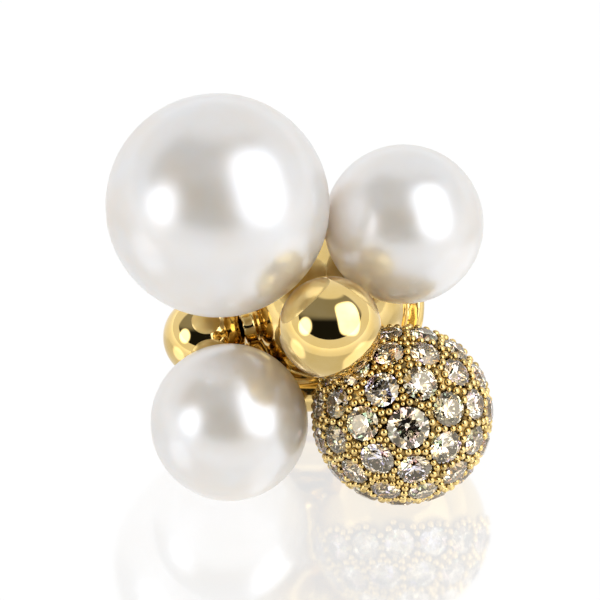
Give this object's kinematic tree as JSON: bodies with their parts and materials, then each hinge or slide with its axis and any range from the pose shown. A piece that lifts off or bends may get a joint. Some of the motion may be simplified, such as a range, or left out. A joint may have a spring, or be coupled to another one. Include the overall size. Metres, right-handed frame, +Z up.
{
  "type": "pearl stud earring",
  "caption": "Cluster stud earring: three pearls, two polished gold balls and a stone-set ball pegged on a domed gold frame with a straight ear post.",
  "frame": {"origin": "on the surface that the stud rests on, under the middle of its box", "axes": "+Z up, -Y the side that the balls face as the stud leans back on its post, +X to the right as seen from the front"},
  "size_m": [0.0208, 0.023, 0.0207],
  "materials": {
    "frame_gold": "polished gold plate",
    "ball_gold": "mirror-polished gold plate",
    "pave_gold": "gold plate with raised beads",
    "pearl": "white pearl lustre",
    "stone": "clear faceted cut"
  },
  "bodies": {
    "root": {"peg_frame": "frame_gold", "pearl_large": "pearl", "pearl_upper": "pearl", "pearl_lower": "pearl", "gold_ball_front": "ball_gold", "gold_ball_side": "ball_gold", "pave_ball": "pave_gold", "pave_stones": "stone"}
  },
  "joints": []
}
